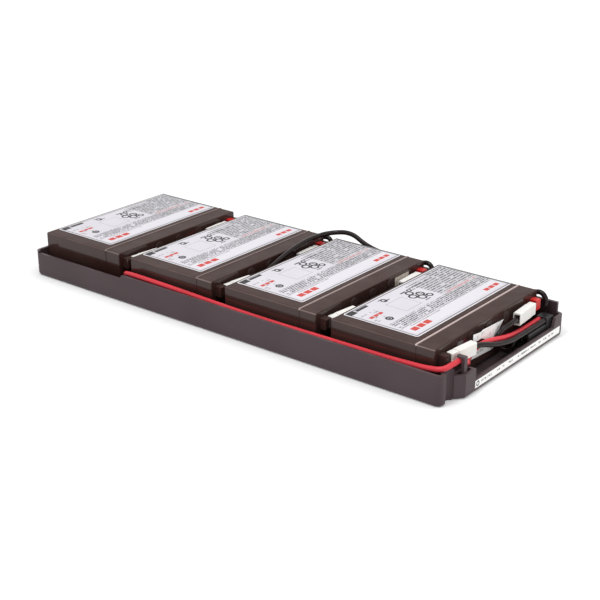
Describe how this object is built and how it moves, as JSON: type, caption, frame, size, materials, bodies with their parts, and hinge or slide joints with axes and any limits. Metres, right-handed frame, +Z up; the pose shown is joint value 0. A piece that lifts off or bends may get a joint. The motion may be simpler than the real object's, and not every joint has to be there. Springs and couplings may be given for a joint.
{
  "type": "ups battery cartridge",
  "caption": "Shallow moulded tray holding flat sealed lead-acid blocks in a row, wired in series with push-on leads and a stowed output plug.",
  "frame": {"origin": "centre of the tray's underside", "axes": "+X along the row of blocks towards the plug bay, +Y to the back, +Z up"},
  "size_m": [0.441, 0.1748, 0.0452],
  "materials": {
    "tray_plastic": "black moulded flame-retardant plastic with a fine texture",
    "case_plastic": "black glossy moulded case plastic",
    "label_print": "printed silver-grey label film",
    "plate_lead": "grey lead plates and straps",
    "separator_mat": "absorbent glass mat",
    "tab_brass": "tin-plated brass",
    "red_moulding": "red moulded plastic",
    "white_nylon": "natural white nylon",
    "vent_rubber": "black rubber",
    "plug_plastic": "black moulded plastic",
    "paper_white": "white printed paper",
    "tape_tan": "thin tan tape",
    "lead_red": "red insulated lead",
    "lead_black": "black insulated lead"
  },
  "bodies": {
    "root": {"black_lead": "lead_black", "case_1": "case_plastic", "case_2": "case_plastic", "case_3": "case_plastic", "case_4": "case_plastic", "end_strip": "paper_white", "jumper_1_2": "lead_black", "jumper_2_3": "lead_black", "jumper_3_4": "lead_black", "label_1": "label_print", "label_2": "label_print", "label_3": "label_print", "label_4": "label_print", "lead_tag": "paper_white", "lid_1": "case_plastic", "lid_2": "case_plastic", "lid_3": "case_plastic", "lid_4": "case_plastic", "lid_sticker": "paper_white", "negative_housing_1": "white_nylon", "negative_housing_2": "white_nylon", "negative_housing_3": "white_nylon", "negative_housing_4": "white_nylon", "negative_plates_1": "plate_lead", "negative_plates_2": "plate_lead", "negative_plates_3": "plate_lead", "negative_plates_4": "plate_lead", "negative_terminal_1": "tab_brass", "negative_terminal_2": "tab_brass", "negative_terminal_3": "tab_brass", "negative_terminal_4": "tab_brass", "plug_boot": "plug_plastic", "plug_contacts": "tab_brass", "plug_housing": "plug_plastic", "positive_base_1": "red_moulding", "positive_base_2": "red_moulding", "positive_base_3": "red_moulding", "positive_base_4": "red_moulding", "positive_housing_1": "white_nylon", "positive_housing_2": "white_nylon", "positive_housing_3": "white_nylon", "positive_housing_4": "white_nylon", "positive_plates_1": "plate_lead", "positive_plates_2": "plate_lead", "positive_plates_3": "plate_lead", "positive_plates_4": "plate_lead", "positive_terminal_1": "tab_brass", "positive_terminal_2": "tab_brass", "positive_terminal_3": "tab_brass", "positive_terminal_4": "tab_brass", "receptacles": "tab_brass", "red_lead": "lead_red", "separators_1": "separator_mat", "separators_2": "separator_mat", "separators_3": "separator_mat", "separators_4": "separator_mat", "tape_patch": "tape_tan", "tray": "tray_plastic", "vent_caps": "case_plastic", "vent_valves": "vent_rubber"}
  },
  "joints": []
}
